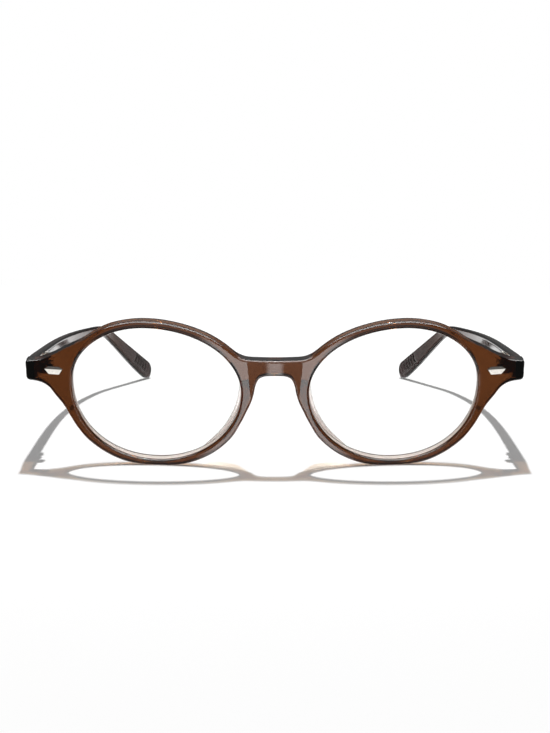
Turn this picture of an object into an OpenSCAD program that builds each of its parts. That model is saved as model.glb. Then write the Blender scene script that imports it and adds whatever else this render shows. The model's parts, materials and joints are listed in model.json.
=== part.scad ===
// Reading glasses: a plastic front with two oval lenses, and two temples on five-barrel hinges.
// Millimetres, +Z up. The glasses stand open on the rims and the temple tips, face towards -Y.
// The origin is under the middle of the whole, on the surface that it stands on.
// "Left" and "right" are the wearer's: the left side is +X.

/* [Lens openings] */
// Width of each lens opening
lens_w = 46.3; // [43:0.1:50]
// Height of each lens opening
lens_h = 38.4; // [35:0.1:41]
// Distance between the two openings, across the nose
bridge_gap = 18.6; // [16:0.1:22]
// From the opening's nose end to its highest point, across
crown_x = 25.7; // [22:0.1:28]
// From the opening's nose end to its lowest point, across
sole_x = 23.2; // [19:0.1:26]
// Height of the opening's nose end over its lowest point
nose_z = 20.4; // [17:0.1:22]
// Height of the opening's temple end over its lowest point
temple_z = 21.9; // [18:0.1:23]

/* [Front] */
// Depth of the front, face to back
front_t = 4; // [3.4:0.1:5]
// How far each end piece reaches past the lens opening
end_w = 12.9; // [11:0.1:14]
// Rim width over the lens
rim_top = 1.9; // [1.6:0.05:3]
// Rim width under the lens
rim_bottom = 1.7; // [1.6:0.05:3]
// Rim width low on the temple side
rim_low = 2.2; // [1.8:0.05:3.5]
// Rim width low on the nose side
rim_nose = 2; // [1.5:0.05:2.6]
// Height of the bridge's top edge over the bottom of the rims
bridge_top = 31.5; // [29:0.1:33]
// Height of the bridge, edge to edge
bridge_h = 4.3; // [3:0.1:6]
// Height of the end pieces' top edge over the bottom of the rims
end_top = 29.2; // [28:0.1:31]
// Height of the end pieces
end_h = 5.6; // [5.2:0.1:7]
// Radius of the front's long edges
edge_r = 0.55; // [0.3:0.05:0.8]
// Radius of the curve that the front has round each lens
front_r = 230; // [160:5:400]
// Angle by which each half of the front turns back
wrap = 4.7; // [2:0.1:7]
// Radius of the arched face of the bridge
bridge_r = 45; // [30:1:90]
// Half the width of that arched face, at the bridge's lower edge
bridge_half = 7.2; // [6:0.1:7.4]
// How much that half width grows for each millimetre up
crease_slope = 0.09; // [0:0.01:0.15]
// Lean of the front's top edge towards -Y
lean = 9.7; // [7:0.1:12]

/* [Lenses] */
// Radius of a lens's front surface
lens_front_r = 125; // [115:1:140]
// Radius of a lens's back surface
lens_back_r = 200; // [170:5:260]
// Thickness of a lens at its middle
lens_t = 2.4; // [2.2:0.1:3]
// Depth of a lens's middle behind the front's face
lens_set = 0.3; // [0.1:0.05:0.5]
// Depth of the groove in the rim
groove_d = 0.6; // [0.4:0.05:0.8]
// Half the width of the groove at its mouth
groove_half = 0.75; // [0.6:0.05:0.9]
// Clearance between a lens's edge and the rim
lens_fit = 0.05; // [0.02:0.01:0.1]

/* [Temples] */
// Length of a temple along its top edge
temple_len = 125; // [120:0.5:135]
// Thickness of a temple at the hinge
temple_t = 3; // [2.8:0.1:3.6]
// Thickness of a temple at its tip
tip_t = 1.9; // [1.6:0.1:2.8]
// Height of a temple at the hinge
temple_h = 5.5; // [5.2:0.1:6.5]
// Height of a temple over the ear
ear_h = 3.2; // [2.6:0.1:4.5]
// Height of a temple's tip
tip_h = 5.9; // [5:0.1:6.5]
// Where the bend over the ear starts
bend_start = 87; // [80:1:92]
// Where the bend over the ear ends
bend_end = 101; // [98:1:112]
// Angle by which the tip turns down
tip_drop = 32; // [25:0.5:36]
// Angle by which a temple turns in along its length
bow = 19; // [12:0.5:20]
// Angle by which the tip turns in
tip_in = 34.5; // [28:0.5:38]
// Slope of a temple, down towards the ear
slope = 4.35; // [1:0.05:7]
// Radius of a temple's long edges
temple_r = 0.8; // [0.4:0.05:0.9]

/* [Hinges] */
// Distance from the front's back, at the end piece, to the joint
lug_len = 9.3; // [8:0.1:11]
// How far a temple sits under the middle of the end piece
lug_drop = 0.3; // [0:0.1:0.6]
// How far the end pieces widen from the front to the joint
lug_out = 0.6; // [0:0.1:1]
// Radius of the lugs' long edges at the front
lug_r = 0.5; // [0.3:0.05:0.7]
// Height of a hinge's leaves
hinge_h = 4.8; // [4.2:0.1:5]
// Radius of a hinge barrel
barrel_r = 1.25; // [1.1:0.05:1.5]
// Thickness of a hinge leaf
leaf_t = 0.8; // [0.7:0.05:1]
// Height of the foot that the front's leaf has behind the end piece
foot_h = 4; // [3:0.1:4.4]
// Radius of the two studs that hold the foot in the front
stud_r = 0.45; // [0.35:0.05:0.5]
// Length of the studs in the front
stud_l = 2.2; // [1.6:0.1:2.6]
// Length of the leaf on a temple
leaf_len = 9; // [8:0.1:12]
// Gap between one barrel and the next, and between front and temple
hinge_gap = 0.06; // [0.04:0.01:0.12]
// Radius of a hinge screw
screw_r = 0.65; // [0.5:0.05:0.75]
// Clearance round the screw
screw_fit = 0.05; // [0.03:0.01:0.1]
// Radius of a screw's head
screw_head_r = 1.15; // [0.95:0.05:1.4]
// Height of a screw's head
screw_head_h = 0.5; // [0.4:0.05:0.8]
// Width of the slot in a screw's head
slot_w = 0.3; // [0.2:0.05:0.4]
// Radius of a temple rivet
rivet_r = 0.6; // [0.5:0.05:0.8]
// Radius of a temple rivet's head
rivet_head_r = 0.95; // [0.85:0.05:1.2]
// Height of a temple rivet's head
rivet_head_h = 0.35; // [0.2:0.05:0.5]
// Distance from the joint to the first rivet
rivet_at = 3.6; // [3:0.1:4]
// Distance between the two rivets
rivet_gap = 3.6; // [2.5:0.1:4]

/* [Plaques] */
// Length of a plaque
plaque_l = 5.4; // [4.4:0.1:6]
// Height of a plaque
plaque_h = 2.2; // [1.6:0.1:3]
// Height of a plaque's ridge over the front's face
plaque_t = 0.6; // [0.4:0.05:1]
// Distance from a plaque's middle to the end of the front
plaque_in = 8; // [7.5:0.1:9]
// Height of a plaque's middle over the bottom of the rims
plaque_z = 27.1; // [26.6:0.1:27.4]
// Radius of a plaque's pins
pin_r = 0.5; // [0.4:0.05:0.6]
// Length of a plaque's pins in the front
pin_l = 2; // [1.4:0.1:2.6]
// Distance between a plaque's two pins
pin_gap = 2.2; // [1.8:0.1:2.6]
// Clearance round the pins and rivets
pin_fit = 0.02; // [0.01:0.01:0.05]

/* [Nose pads] */
// How far a nose pad stands out behind the rim
pad_d = 5.6; // [4:0.1:7]
// Thickness of a nose pad along its free edge
pad_t = 1.1; // [0.8:0.1:1.6]
// How far the top of a pad's free edge leans over the lens
pad_lean = 1.3; // [0.6:0.1:1.6]
// Where a pad starts, as an angle round the opening
pad_from = 8; // [0:1:12]
// Where a pad ends, as an angle round the opening
pad_to = -58; // [-66:1:-50]
// Film of glue between a pad and the rim
glue = 0.03; // [0.02:0.01:0.08]

/* [Hidden] */
round_fn = 48;

// Opening of the left lens, as u across and w up in the front's own plane: four quarters of
// nearly elliptical curve, which meet at the nose end (angle 0), the top, the temple end and the bottom.
nose_u = bridge_gap / 2;
crown_u = nose_u + crown_x;
sole_u = nose_u + sole_x;
temple_u = nose_u + lens_w;
low_w = rim_bottom;
high_w = rim_bottom + lens_h;
nose_w = rim_bottom + nose_z;
temple_w = rim_bottom + temple_z;
middle = [nose_u + lens_w / 2, rim_bottom + lens_h / 2];
roundness = [2, 2.02, 2.15, 2];

function unit(v) = v / norm(v);
function lerp(a, b, t) = a + (b - a) * t;
function smooth(t) = let(k = max(0, min(1, t))) k * k * (3 - 2 * k);
function wrapped(a) = a - 360 * floor(a / 360);
function opening(a) =
    let(p = wrapped(a), c = cos(p), s = sin(p), q = floor(p / 90), n = roundness[q])
    let(cu = q < 2 ? crown_u : sole_u, cw = q == 0 || q == 3 ? nose_w : temple_w)
    let(au = c > 0 ? cu - nose_u : temple_u - cu, aw = s > 0 ? high_w - cw : cw - low_w)
    [cu - au * sign(c) * pow(abs(c), 2 / n), cw + aw * sign(s) * pow(abs(s), 2 / n)];
function opening_normal(a) = let(d = opening(a + 0.5) - opening(a - 0.5)) unit([-d[1], d[0]]);
function rim(a, width) = opening(a) + width * opening_normal(a);

// Outer outline of the left half, from the bridge's top edge over the rim, round the end piece
// and back under the lens to the bridge's lower edge. Each point has the angle that it belongs to.
end_u = temple_u + end_w;
end_bot = end_top - end_h;
bridge_bot = bridge_top - bridge_h;
seam_lo = 19.5;
seam_hi = 25;
outline_points = [
    [seam_hi, [0, bridge_top]],
    [27, [nose_u - 5.2, bridge_top]],
    [29, [nose_u - 2, bridge_top + 0.05]],
    [31.5, [nose_u - 0.3, bridge_top + 0.5]],
    [35.5, rim(30, rim_top + 0.9)],
    [42.5, rim(40, rim_top + 0.45)],
    [52, rim(51, rim_top + 0.25)],
    [65, rim(64, rim_top + 0.05)],
    [78, rim(78, rim_top)],
    [91, rim(91, rim_top)],
    [104, rim(104, rim_top)],
    [117, rim(117, rim_top + 0.1)],
    [129, rim(130, rim_top + 0.15)],
    [138, rim(140, rim_top + 0.4)],
    [146.5, [end_u - 11.4, end_top + 4.3]],
    [152.5, [end_u - 7.6, end_top + 2.1]],
    [158, [end_u - 3.7, end_top + 0.5]],
    [161.5, [end_u - 0.6, end_top]],
    [163, [end_u - 0.18, end_top - 0.18]],
    [164.5, [end_u, end_top - 0.6]],
    [168, [end_u, end_top - end_h / 2]],
    [171, [end_u, end_bot + 1.1]],
    [173, [end_u - 0.25, end_bot + 0.35]],
    [175, [end_u - 0.9, end_bot]],
    [178.5, [end_u - 3.2, end_bot - 0.2]],
    [182, [end_u - 4.9, end_bot - 0.7]],
    [186.5, [end_u - 6.5, end_bot - 1.8]],
    [192.5, [end_u - 8.1, end_bot - 3.9]],
    [199.5, rim(194, rim_low + 1.2)],
    [206, rim(202, rim_low + 0.5)],
    [213, rim(210, rim_low + 0.3)],
    [224, rim(222, rim_low + 0.2)],
    [237, rim(237, rim_low)],
    [252, rim(252, rim_low - 0.1)],
    [270, rim(270, rim_bottom)],
    [288, rim(288, rim_bottom + 0.4)],
    [306, rim(306, rim_nose + 0.2)],
    [323, rim(323, rim_nose + 0.2)],
    [337.5, rim(337, rim_nose)],
    [347, rim(346, rim_nose + 0.3)],
    [354, rim(353, rim_nose + 0.95)],
    [360, rim(359, rim_nose + 1.5)],
    [365, [nose_u - 3.9, bridge_bot - 3.4]],
    [368.5, [nose_u - 4.4, bridge_bot - 1.9]],
    [373, [nose_u - 5.2, bridge_bot - 0.75]],
    [377.3, [nose_u - 6.9, bridge_bot - 0.1]],
    [seam_lo + 360, [0, bridge_bot]],
];
last = len(outline_points) - 1;
function reflected(k, at) = [2 * at[0] - k[0], [-k[1][0], k[1][1]]];
function knot(i) = i < 0 ? reflected(outline_points[-i], outline_points[0])
    : i > last ? reflected(outline_points[2 * last - i], outline_points[last]) : outline_points[i];
function knot_before(a, i = 0) = i >= last - 1 || a < outline_points[i + 1][0] ? i : knot_before(a, i + 1);
function spline(a) =
    let(i = knot_before(a), k0 = knot(i - 1), k1 = knot(i), k2 = knot(i + 1), k3 = knot(i + 2))
    let(h = k2[0] - k1[0], t = (a - k1[0]) / h)
    let(m1 = (k2[1] - k0[1]) / (k2[0] - k0[0]) * h, m2 = (k3[1] - k1[1]) / (k3[0] - k1[0]) * h)
    (2 * t^3 - 3 * t^2 + 1) * k1[1] + (t^3 - 2 * t^2 + t) * m1
        + (3 * t^2 - 2 * t^3) * k2[1] + (t^3 - t^2) * m2;
function on_seam(a) = a >= seam_lo && a <= seam_hi;
function outline(a) = a < seam_hi ? [0, lerp(bridge_bot, bridge_top, (a - seam_lo) / (seam_hi - seam_lo))]
    : spline(a);
function outline_normal(a) = a == seam_hi ? [0, 1] : a == seam_lo ? [0, -1] : on_seam(a) ? [0, 0]
    : let(d = spline(a + 0.2) - spline(a - 0.2)) unit([-d[1], d[0]]);

// The front's face: curved round each lens, turned back by the wrap, arched over the bridge.
// place() puts a point of that plane, at depth d behind the face, in space.
function curve(u, w) =
    let(across = u - middle[0], up = w - middle[1]) (across^2 + up^2) / (2 * front_r) + across * tan(wrap);
function crease(w) = bridge_half + crease_slope * (w - bridge_bot);
function beyond(p) = p[0] - crease(p[1]);
function face(u, w) =
    let(c = crease(w)) u < c ? curve(c, w) - (c^2 - u^2) / (2 * bridge_r) : curve(u, w);
function place(p, d) =
    let(y = face(p[0], p[1]) + d)
    [p[0], y * cos(lean) - p[1] * sin(lean), p[1] * cos(lean) + y * sin(lean)];

// Cross-sections of the left half, each one round from the face over the outer edge, the back and the groove
inner_edge = 0.2;
arc_step = 1 - cos(45);
stations = concat([19.5, 22], [for (a = [25:1:33]) a], [35, 38], [for (a = [43:6:139]) a],
    [for (a = [143:2.5:158]) a], [for (a = [160:1.25:165]) a], [168], [for (a = [171:1:175]) a],
    [for (a = [177:2:199]) a], [for (a = [204:6:342]) a], [for (a = [346:3.5:360]) a],
    [for (a = [362:2:374]) a], [375.5, 377.3, 378.5]);
section_n = 17;
wall_from = 3;
wall_to = 7;
function section(a) =
    let(A = opening(a), G = opening_normal(a), B = outline(a), N = outline_normal(a))
    let(E = B - edge_r * N, M = B - edge_r * arc_step * N, A1 = A + inner_edge * G)
    let(t = beyond(E) < 0 ? min(0.97, beyond(A1) / (beyond(A1) - beyond(E))) : max(0.5, 0.97 - beyond(E) / 6))
    let(M1 = lerp(A1, E, t), M2 = lerp(M1, E, 0.5), T = front_t, g = front_t / 2, k = edge_r * arc_step)
    [place(A1, 0), place(M1, 0), place(M2, 0), place(E, 0), place(M, k), place(B, edge_r),
     place(B, T - edge_r), place(M, T - k), place(E, T), place(M2, T), place(M1, T), place(A1, T),
     place(A, T - inner_edge), place(A, g + groove_half), place(A + groove_d * G, g),
     place(A, g - groove_half), place(A, inner_edge)];
half_front = [for (a = stations) each section(a)];
function seam_face(j, j2, k) = on_seam(stations[j]) && on_seam(stations[j2]) && k >= wall_from && k <= wall_to;

// Skin of a loop of sections: rings of n points, m rings, closed on itself or open with flat ends
function quad(a, b, c, d, flip) = flip ? [[a, b, c], [a, c, d]] : [[a, c, b], [a, d, c]];
function front_skin(flip, base) = [for (j = [0:len(stations) - 1]) for (k = [0:section_n - 1])
    let(j2 = (j + 1) % len(stations), k2 = (k + 1) % section_n)
    let(a = base + j * section_n, b = base + j2 * section_n)
    if (!seam_face(j, j2, k)) each quad(a + k, b + k, b + k2, a + k2, flip)];
function mirrored(p) = [p[0] == 0 ? 0 : -p[0], p[1], p[2]];
function bar_skin(m, n) = concat(
    [for (j = [0:m - 2]) for (k = [0:n - 1]) let(k2 = (k + 1) % n)
        each quad(j * n + k, (j + 1) * n + k, (j + 1) * n + k2, j * n + k2, false)],
    [[for (k = [n - 1:-1:0]) k], [for (k = [0:n - 1]) (m - 1) * n + k]]);

// Cross-section of a bar: a rectangle with rounded corners, t by h, in the plane of two directions
function bar_section(at, across, up, t, h, r) =
    [for (c = [[1, 1, 0], [-1, 1, 90], [-1, -1, 180], [1, -1, 270]]) for (a = [0, 45, 90])
        at + across * (c[0] * (t / 2 - r) + r * cos(c[2] + a))
            + up * (c[1] * (h / 2 - r) + r * sin(c[2] + a))];
module bar(sections) {
    polyhedron(points = [for (s = sections) each s], faces = bar_skin(len(sections), len(sections[0])),
        convexity = 4);
}

// Frame of the joint between the front and the left temple: Y runs back along the temple, Z along the hinge
axis_in = 0.1;
outer_x = end_u + lug_out;
inner_x = outer_x - temple_t;
lug_root = place([end_u - temple_t / 2, end_top - end_h / 2], front_t);
joint_y = lug_root[1] + lug_len;
joint_z = lug_root[2] - lug_len * tan(slope) - lug_drop;
axis_x = inner_x - barrel_r - axis_in;
module at_joint() {
    translate([0, joint_y, joint_z]) rotate([-slope, 0, 0]) children();
}

// Path of a temple's outer top edge in that frame, as small steps along its length
path_step = 1;
straight = 12;
slim_by = 20;
tip_from = 5;
tip_full = 2;
function pitch(s) = tip_drop * smooth((s - bend_start) / (bend_end - bend_start));
function yaw(s) = s < straight ? 0
    : bow * pow(min(1, (s - straight) / (bend_start - straight)), 2.3)
        + (tip_in - bow) * smooth((s - bend_start) / (bend_end - bend_start));
function heading(s) = [-sin(yaw(s)) * cos(pitch(s)), cos(yaw(s)) * cos(pitch(s)), -sin(pitch(s))];
path_n = ceil(temple_len / path_step);
path = [for (i = 0, p = [outer_x, 0, temple_h / 2]; i <= path_n;
    p = p + heading((i + 0.5) * path_step) * path_step, i = i + 1) p];
function path_at(s) =
    let(i = min(path_n - 1, floor(s / path_step))) lerp(path[i], path[i + 1], s / path_step - i);
function thickness(s) = lerp(temple_t, tip_t, smooth((s - straight) / (temple_len - straight)));
function height(s) =
    lerp(lerp(temple_h, ear_h, smooth((s - straight) / (bend_start - slim_by - straight))), tip_h,
        smooth((s - bend_start - tip_from) / (temple_len - tip_full - bend_start - tip_from)));
tip_round = 3.6;
tip_sink = 0.45;
function end_scale(s) =
    s <= temple_len - tip_round ? 1 : sqrt(1 - pow((s - temple_len + tip_round) / tip_round, 2));
function temple_section(s) =
    let(out = [cos(yaw(s)), sin(yaw(s)), 0], up = cross(out, heading(s)), h = height(s), t = thickness(s))
    let(k = end_scale(s), at = path_at(s) - out * t / 2 - up * h / 2 * (1 + tip_sink * (1 - k)))
    let(tk = t * lerp(1, k, 0.6)) bar_section(at, out, up, tk, h * k, min(temple_r, h * k * 0.4, tk * 0.4));
temple_stations = concat([hinge_gap / 2, straight], [for (s = [20:6:bend_start - 4]) s],
    [for (s = [bend_start - 2:2:bend_end + 2]) s], [for (s = [bend_end + 6:5:temple_len - tip_round - 1]) s],
    [for (a = [0, 25, 45, 60, 72, 80, 86]) temple_len - tip_round * (1 - sin(a))]);
temple_sections = [for (s = temple_stations) temple_section(s)];

// Standing height and depth: the rims and the temple tips rest on z = 0, the middle of the depth is y = 0.
// stand_turn is the small turn about the rims' bottom that brings the tips down to the surface.
function from_joint(p) = [p[0], joint_y + p[1] * cos(slope) + p[2] * sin(slope),
    joint_z - p[1] * sin(slope) + p[2] * cos(slope)];
temple_points = [for (s = temple_sections) for (p = s) from_joint(p)];
rim_low_z = min([for (p = half_front) p[2]]);
rim_foot = [for (p = half_front) if (p[2] < rim_low_z + 0.001) p][0];
tip_low_z = min([for (p = temple_points) p[2]]);
tip_foot = [for (p = temple_points) if (p[2] < tip_low_z + 0.001) p][0];
stand_turn = -atan((tip_low_z - rim_low_z) / (tip_foot[1] - rim_foot[1]));
function turned(p) = let(q = p - rim_foot)
    [p[0], q[1] * cos(stand_turn) - q[2] * sin(stand_turn), q[2] * cos(stand_turn) + q[1] * sin(stand_turn)];
near_y = min([for (p = half_front) turned(p)[1]]);
far_y = max([for (p = temple_points) turned(p)[1]]);
module stand() {
    translate([0, -(near_y + far_y) / 2, 0]) rotate([stand_turn, 0, 0])
        translate([0, -rim_foot[1], -rim_foot[2]]) children();
}
module right_side() {
    mirror([1, 0, 0]) children();
}

// Seat of the plaque on the front's face, and of the hinge's foot on its back:
// X runs along the front, Y into it and Z up it.
seat = [end_u - plaque_in, plaque_z];
seat_yaw = atan((seat[0] - middle[0]) / front_r + tan(wrap));
seat_pitch = atan((seat[1] - middle[1]) / front_r);
module at_seat(d) {
    translate(place(seat, d)) rotate([lean - seat_pitch, 0, 0]) rotate([0, 0, seat_yaw]) children();
}
module pegs(spots, r, from, to) {
    for (spot = spots)
        at_seat(0) translate([spot[0], from, spot[1]]) rotate([-90, 0, 0])
            cylinder(r = r, h = to - from, $fn = round_fn);
}
pins = [[-pin_gap / 2, 0], [pin_gap / 2, 0]];
foot_from = pin_gap / 2 - 0.7;
studs = [[foot_from + 1.1, foot_h / 2 - 0.6], [foot_from + 2.2, 0.4]];
foot_gap = 0.12;
peg_end = 0.1;

// The front: rims, bridge, end pieces and the lugs that run back to the temples
lug_in = 2;
module lug() {
    at_joint() bar([for (k = [0:0.25:1])
        let(y = lerp(-lug_len - lug_in, -hinge_gap / 2, k), side = outer_x - lug_out * (1 - smooth(k)))
        bar_section([(inner_x + side) / 2, y, 0], [1, 0, 0], [0, 0, 1], side - inner_x, temple_h,
            lerp(lug_r, temple_r, k))]);
}
module sockets() {
    pegs(pins, pin_r + pin_fit, -1, pin_l + peg_end);
    pegs(studs, stud_r + pin_fit, front_t - stud_l - peg_end, front_t + 1);
}
module front() {
    n = len(half_front);
    color("saddlebrown") stand() difference() {
        union() {
            polyhedron(points = concat(half_front, [for (p = half_front) mirrored(p)]),
                faces = concat(front_skin(false, 0), front_skin(true, n)), convexity = 6);
            lug();
            right_side() lug();
        }
        sockets();
        right_side() sockets();
    }
}

// A lens: a blank with a V edge for the rim's groove, between two spherical surfaces
lens_stations = [for (a = [0:5:355]) a];
blank_front = -2;
blank_back = 8;
module lens_blank() {
    n = len(lens_stations);
    g = front_t / 2;
    half_v = groove_half - lens_fit;
    rings = [[-lens_fit, blank_front], [-lens_fit, g - half_v], [groove_d - 2 * lens_fit, g],
        [-lens_fit, g + half_v], [-lens_fit, blank_back]];
    points = [for (r = rings) for (a = lens_stations) place(rim(a, r[0]), r[1])];
    ends = [place(middle, blank_front), place(middle, blank_back)];
    skin = [for (j = [0:len(rings) - 2]) for (k = [0:n - 1]) let(k2 = (k + 1) % n)
        each quad(j * n + k, (j + 1) * n + k, (j + 1) * n + k2, j * n + k2, true)];
    caps = [for (k = [0:n - 1]) let(k2 = (k + 1) % n, b = (len(rings) - 1) * n)
        each [[k, k2, len(points)], [b + k2, b + k, len(points) + 1]]];
    polyhedron(points = concat(points, ends), faces = concat(skin, caps), convexity = 4);
}
module lens() {
    sphere_fn = 360;
    color("lightcyan", 0.4) stand() difference() {
        intersection() {
            lens_blank();
            translate(place(middle, lens_set)) rotate([lean, 0, 0]) rotate([0, 0, wrap])
                translate([0, lens_front_r, 0]) sphere(r = lens_front_r, $fn = sphere_fn);
        }
        translate(place(middle, lens_set + lens_t)) rotate([lean, 0, 0]) rotate([0, 0, wrap])
            translate([0, lens_back_r, 0]) sphere(r = lens_back_r, $fn = sphere_fn);
    }
}

// A nose pad: a fin of clear plastic glued behind the nose side of the rim
pad_n = 16;
pad_foot = 0.9;
pad_corner = 0.35;
pad_root = 0.35;
pad_end_d = 0.5;
pad_edge_gap = 0.05;
function pad_swell(t) = pow(max(0, sin(180 * t)), 0.5);
function pad_section(t) =
    let(a = lerp(pad_from, pad_to, t), o = rim(a, 0), width = norm(outline(a + 360) - o))
    let(root = [pad_root, min(width, rim_nose + 1) - edge_r - pad_edge_gap], k = pad_swell(t))
    let(d = lerp(pad_end_d, pad_d, k), edge = lerp(-pad_lean, pad_foot, t))
    let(lo = lerp(root, [edge, edge + pad_t], k), z0 = front_t + glue, z1 = front_t + glue + d)
    let(a0 = min(lo[0], lo[1] - 2.2 * pad_corner), b0 = max(lo[1], lo[0] + 2.2 * pad_corner))
    [place(rim(a, root[0]), z0), place(rim(a, lerp(root[0], a0, 0.5)), lerp(z0, z1, 0.5)),
     place(rim(a, a0), z1 - pad_corner), place(rim(a, a0 + pad_corner), z1),
     place(rim(a, b0 - pad_corner), z1), place(rim(a, b0), z1 - pad_corner),
     place(rim(a, lerp(root[1], b0, 0.5) + 0.12 * k), lerp(z0, z1, 0.5)), place(rim(a, root[1]), z0)];
module nose_pad() {
    color("mistyrose", 0.7) stand() bar([for (i = [0:pad_n]) pad_section(i / pad_n)]);
}

// A plaque: a ridged metal lozenge on the face, with two short pins in the front.
// Its ridge lies over the middle, so that the lower facet is the wide one.
module plaque() {
    x = plaque_l / 2;
    z = plaque_h / 2;
    corner_x = x - plaque_h * 0.55;
    ridge_x = x - plaque_h * 0.1;
    ridge_z = z * 0.4;
    rim_t = plaque_t * 0.35;
    outline_xz = [[x, ridge_z], [corner_x, z], [-corner_x, z], [-x, ridge_z], [-corner_x, -z],
        [corner_x, -z]];
    color("silver") stand() {
        at_seat(0) polyhedron(points = concat([for (p = outline_xz) [p[0], -glue, p[1]]],
            [for (p = outline_xz) [p[0], -rim_t, p[1]]],
            [[ridge_x, -plaque_t, ridge_z], [-ridge_x, -plaque_t, ridge_z]]),
            faces = [[0, 1, 2, 3, 4, 5], [6, 7, 1, 0], [7, 8, 2, 1], [8, 9, 3, 2], [9, 10, 4, 3],
                [10, 11, 5, 4], [11, 6, 0, 5], [12, 7, 6], [12, 13, 8, 7], [13, 9, 8], [13, 10, 9],
                [13, 12, 11, 10], [12, 6, 11]]);
        pegs(pins, pin_r, -rim_t, pin_l);
    }
}

// Hinge: five barrels one over another, three on the front's leaf and two on the temple's
barrels = 5;
barrel_h = (hinge_h - (barrels - 1) * hinge_gap) / barrels;
function barrel_z(i) = -hinge_h / 2 + i * (barrel_h + hinge_gap);
module barrel_set(first, r, extra) {
    for (i = [first:2:barrels - 1])
        translate([axis_x, 0, barrel_z(i) - extra]) cylinder(r = r, h = barrel_h + 2 * extra, $fn = round_fn);
}
module screw_bore() {
    translate([axis_x, 0, -hinge_h]) cylinder(r = screw_r + screw_fit, h = 2 * hinge_h, $fn = round_fn);
}
module front_leaf() {
    color("gray") stand() pegs(studs, stud_r, front_t - stud_l, front_t + foot_gap + leaf_t / 2);
    color("gray") stand() difference() {
        union() {
            at_joint() translate([inner_x - leaf_t - glue, -lug_len - lug_in, -hinge_h / 2])
                cube([leaf_t, lug_len + lug_in - hinge_gap / 2, hinge_h]);
            at_joint() barrel_set(0, barrel_r, 0);
            at_seat(front_t) translate([foot_from, 0, -foot_h / 2])
                cube([inner_x - seat[0] - foot_from, foot_gap + leaf_t, foot_h]);
        }
        at_seat(front_t) translate([-2 * lug_len, -2 * lug_len, -2 * hinge_h])
            cube([4 * lug_len, 2 * lug_len + foot_gap, 4 * hinge_h]);
        at_joint() translate([inner_x - glue, -2 * lug_len, -2 * hinge_h])
            cube([lug_len, 4 * lug_len, 4 * hinge_h]);
        at_joint() barrel_set(1, barrel_r + hinge_gap, hinge_gap);
        at_joint() screw_bore();
    }
}
module temple_leaf() {
    color("gray") stand() at_joint() difference() {
        union() {
            translate([inner_x - leaf_t - glue, hinge_gap / 2, -hinge_h / 2])
                cube([leaf_t, leaf_len - hinge_gap / 2, hinge_h]);
            barrel_set(1, barrel_r, 0);
        }
        barrel_set(0, barrel_r + hinge_gap, hinge_gap);
        screw_bore();
        rivet_holes();
    }
}
module hinge_screw() {
    color("silver") stand() at_joint() translate([axis_x, 0, 0]) difference() {
        union() {
            translate([0, 0, -hinge_h / 2])
                cylinder(r = screw_r, h = hinge_h + 2 * screw_fit, $fn = round_fn);
            translate([0, 0, hinge_h / 2 + screw_fit])
                cylinder(r = screw_head_r, h = screw_head_h, $fn = round_fn);
        }
        translate([-2 * screw_head_r, -slot_w / 2, hinge_h / 2 + screw_fit + screw_head_h / 2])
            cube([4 * screw_head_r, slot_w, screw_head_h]);
    }
}

// Rivets of a temple: each runs in from the outer face and is headed on the leaf
module rivet_shank(i, r, from, to) {
    translate([from, rivet_at + i * rivet_gap, 0]) rotate([0, 90, 0])
        cylinder(r = r, h = to - from, $fn = round_fn);
}
module rivet_holes() {
    for (i = [0, 1])
        rivet_shank(i, rivet_r + pin_fit, inner_x - leaf_t - 1, outer_x + 1);
}
module temple_rivet(i) {
    leaf_face = inner_x - leaf_t - 2 * glue;
    color("silver") stand() at_joint() {
        rivet_shank(i, rivet_r, leaf_face - rivet_head_h / 2, outer_x);
        rivet_shank(i, rivet_head_r, leaf_face - rivet_head_h, leaf_face);
    }
}

// A temple: one curved bar from the joint to the tip behind the ear
module temple() {
    color("dimgray") stand() at_joint() difference() {
        bar(temple_sections);
        rivet_holes();
    }
}

front();
lens();  // left_lens
right_side() lens();  // right_lens
nose_pad();  // left_nose_pad
right_side() nose_pad();  // right_nose_pad
plaque();  // left_plaque
right_side() plaque();  // right_plaque
front_leaf();  // left_front_leaf
right_side() front_leaf();  // right_front_leaf
temple_leaf();  // left_temple_leaf
right_side() temple_leaf();  // right_temple_leaf
hinge_screw();  // left_hinge_screw
right_side() hinge_screw();  // right_hinge_screw
temple_rivet(0);  // left_temple_front_rivet
right_side() temple_rivet(0);  // right_temple_front_rivet
temple_rivet(1);  // left_temple_rear_rivet
right_side() temple_rivet(1);  // right_temple_rear_rivet
temple();  // left_temple
right_side() temple();  // right_temple
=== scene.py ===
import json
import math

import bmesh
import bpy
from mathutils import Matrix, Vector

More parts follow.
